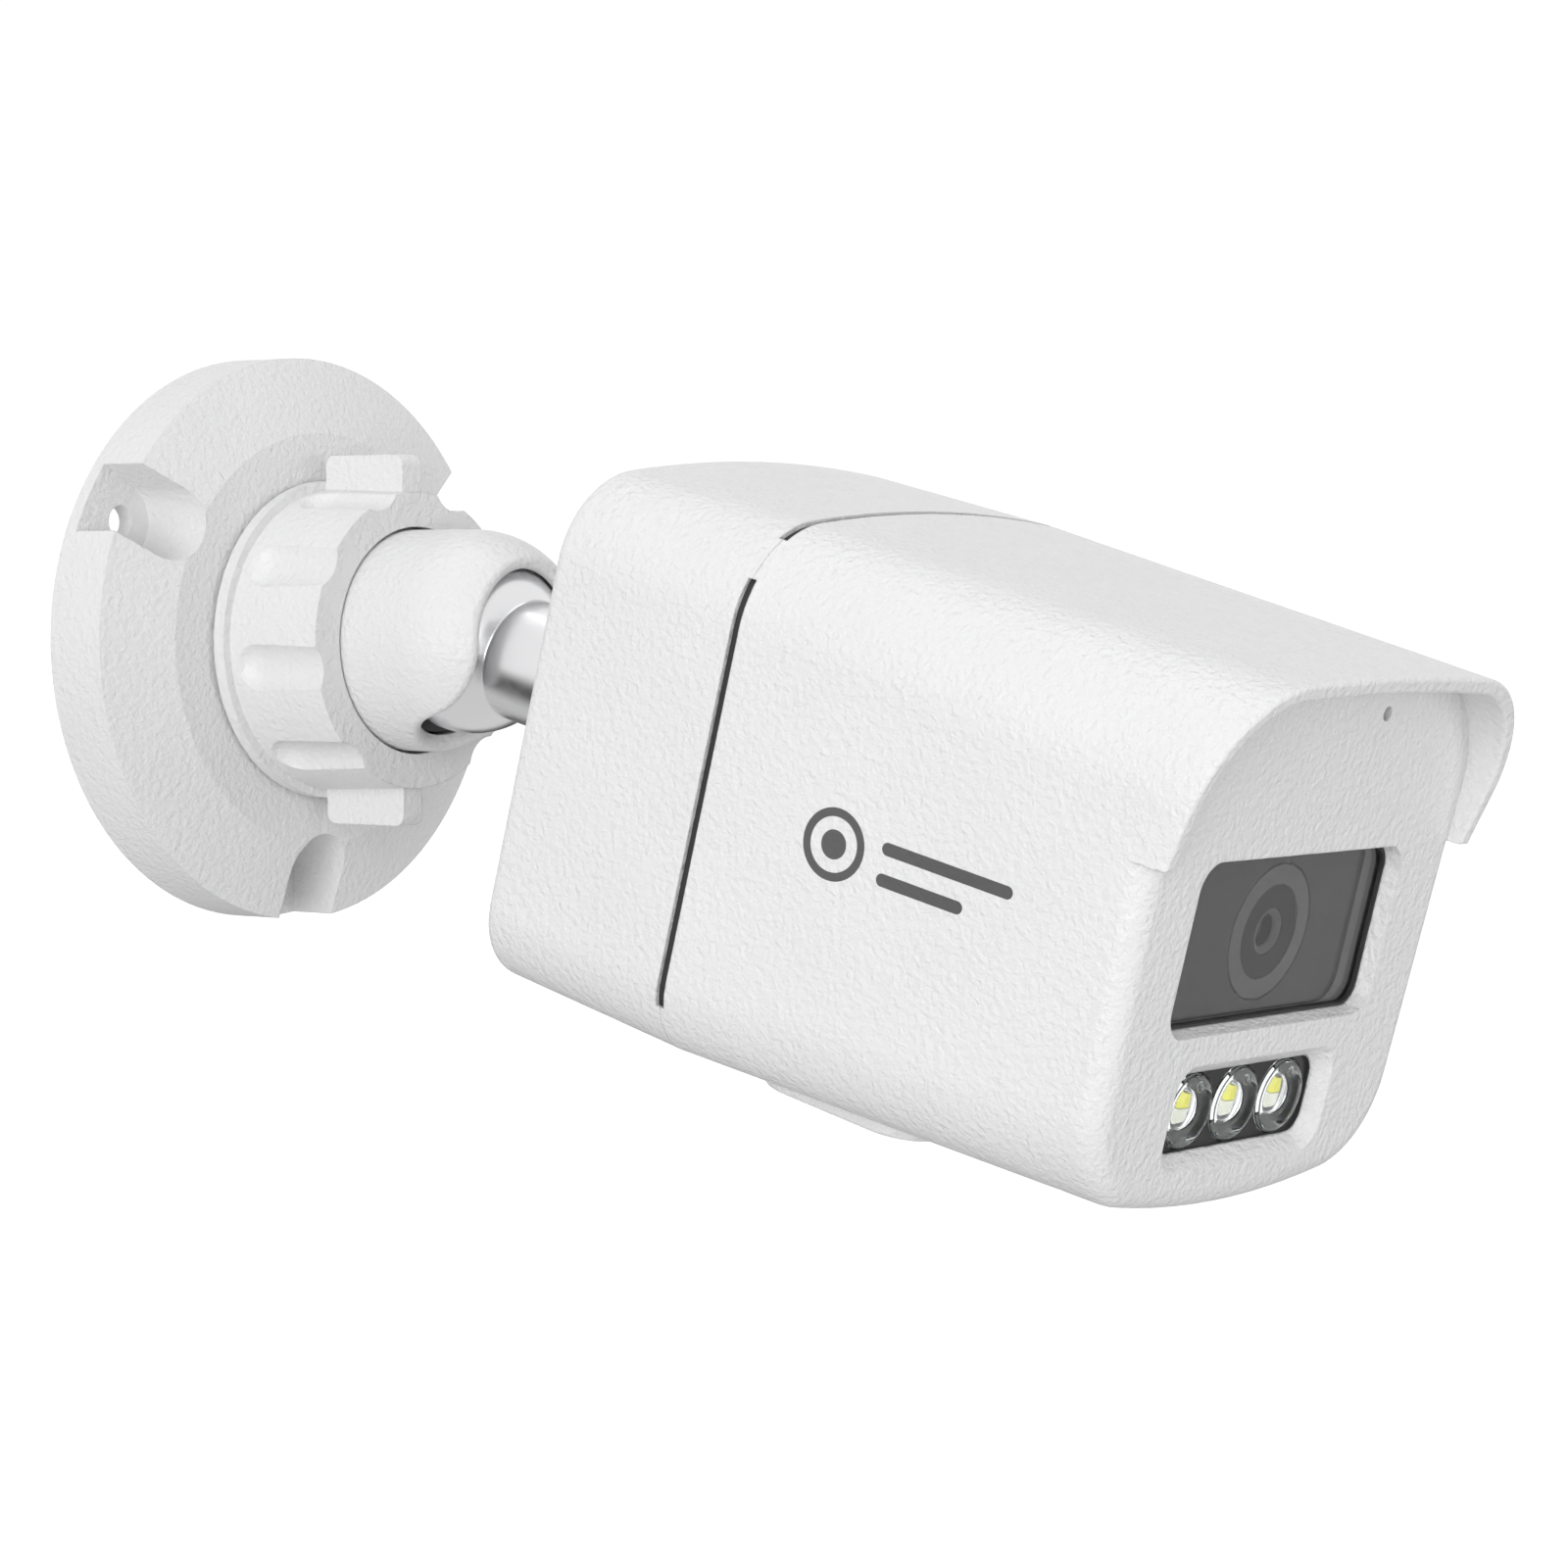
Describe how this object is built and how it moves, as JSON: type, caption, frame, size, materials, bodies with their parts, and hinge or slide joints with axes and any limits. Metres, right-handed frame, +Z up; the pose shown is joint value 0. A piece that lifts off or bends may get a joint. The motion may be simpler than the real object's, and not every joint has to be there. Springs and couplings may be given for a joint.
{
  "type": "security camera",
  "caption": "Wall-mounted bullet security camera: hooded casing with a window over its lens and a row of lamps below, on a round base with a ball swivel and lock ring.",
  "frame": {"origin": "centre of the base's back face, on the wall, where the screw circle's centre is", "axes": "+Z is up, the wall is the plane Y = 0 with +Y into the wall, the camera reaches out along -Y and +X is to the right of someone who faces the wall"},
  "size_m": [0.075, 0.178, 0.1009],
  "materials": {
    "bracket_paint": "satin powder coat with a fine grain",
    "seat_plastic": "moulded acetal",
    "neck_metal": "satin turned metal",
    "steel": "zinc plated",
    "dark_screws": "black oxide",
    "casing_paint": "satin powder coat with an orange-peel grain",
    "seal_rubber": "moulded",
    "window_glass": "tinted, polished",
    "mask_black": "matt",
    "shield_plastic": "fine matt",
    "lens_glass": "coated, polished",
    "slide_plastic": "matt",
    "infrared_glass": "coated, polished",
    "clear_glass": "polished",
    "inner_aluminium": "plain",
    "board_green": "solder mask",
    "board_dark": "dark solder mask",
    "sensor_glass": "polished",
    "chip_black": "moulded",
    "tin_plate": "tinned",
    "capacitor_sleeve": "plain",
    "connector_plastic": "moulded nylon",
    "ribbon_film": "polyimide film",
    "button_plastic": "moulded",
    "led_mask_black": "fine matt",
    "optic_clear": "clear, polished",
    "led_yellow": "phosphor",
    "led_cream": "clear resin over a pale die",
    "microphone_metal": "plain"
  },
  "bodies": {
    "base": {"mounting_base": "bracket_paint", "clamp_seat": "seat_plastic"},
    "ring": {"lock_ring": "bracket_paint"},
    "dome": {"swivel_dome": "bracket_paint"},
    "arm": {"ball_arm": "neck_metal", "neck_washer": "steel", "neck_nut": "steel"},
    "filter": {"filter_slide": "slide_plastic", "infrared_filter": "infrared_glass", "clear_filter": "clear_glass"},
    "button": {"reset_button": "button_plastic"},
    "camera": {"board_spacers": "steel", "housing_screws": "dark_screws", "cover_screws": "dark_screws", "bracket_screws": "dark_screws", "board_screws": "dark_screws", "rear_housing": "casing_paint", "front_housing": "casing_paint", "bottom_cover": "casing_paint", "neck_seal": "seal_rubber", "seam_gasket": "seal_rubber", "cover_gasket": "seal_rubber", "window_gasket": "seal_rubber", "microphone_seal": "seal_rubber", "window_glass": "window_glass", "window_mask": "mask_black", "lens_barrel": "mask_black", "lens_holder": "mask_black", "filter_actuator": "mask_black", "light_shield": "shield_plastic", "front_lens": "lens_glass", "middle_lens": "lens_glass", "rear_lens": "lens_glass", "inner_bracket": "inner_aluminium", "heat_sink": "inner_aluminium", "sensor_board": "board_green", "main_board": "board_green", "led_board": "board_dark", "image_sensor": "sensor_glass", "processor": "chip_black", "network_transformer": "chip_black", "reset_switch": "chip_black", "shield_can": "tin_plate", "card_socket": "tin_plate", "capacitors": "capacitor_sleeve", "cable_header": "connector_plastic", "ribbon_connectors": "connector_plastic", "ribbon_cable": "ribbon_film", "led_mask": "led_mask_black", "led_optic_1": "optic_clear", "led_optic_2": "optic_clear", "led_optic_3": "optic_clear", "white_leds": "led_yellow", "infrared_leds": "led_cream", "microphone": "microphone_metal"}
  },
  "joints": [
    {"name": "ring_turn", "type": "hinge", "parent": "base", "child": "ring", "pos_m": [0, 0, 0], "axis": [0, -1, 0], "range_deg": [0, 180]},
    {"name": "dome_pan", "type": "hinge", "parent": "base", "child": "dome", "pos_m": [0, 0, 0], "axis": [0, -1, 0], "range_deg": [-180, 180]},
    {"name": "arm_tilt", "type": "hinge", "parent": "dome", "child": "arm", "pos_m": [0, -0.0399, 0], "axis": [1, 0, 0], "range_deg": [-20, 62]},
    {"name": "camera_spin", "type": "hinge", "parent": "arm", "child": "camera", "pos_m": [0, -0.0399, 0], "axis": [0, -0.9664, -0.2571], "range_deg": [-180, 180]},
    {"name": "filter_travel", "type": "slide", "parent": "camera", "child": "filter", "axis": [1, 0, 0], "range_m": [0, 0.0074]},
    {"name": "reset_press", "type": "slide", "parent": "camera", "child": "button", "axis": [0, -0.2571, 0.9664], "range_m": [0, 0.0004], "stiffness_N_per_m": 1500, "springref_m": -0.0002}
  ]
}
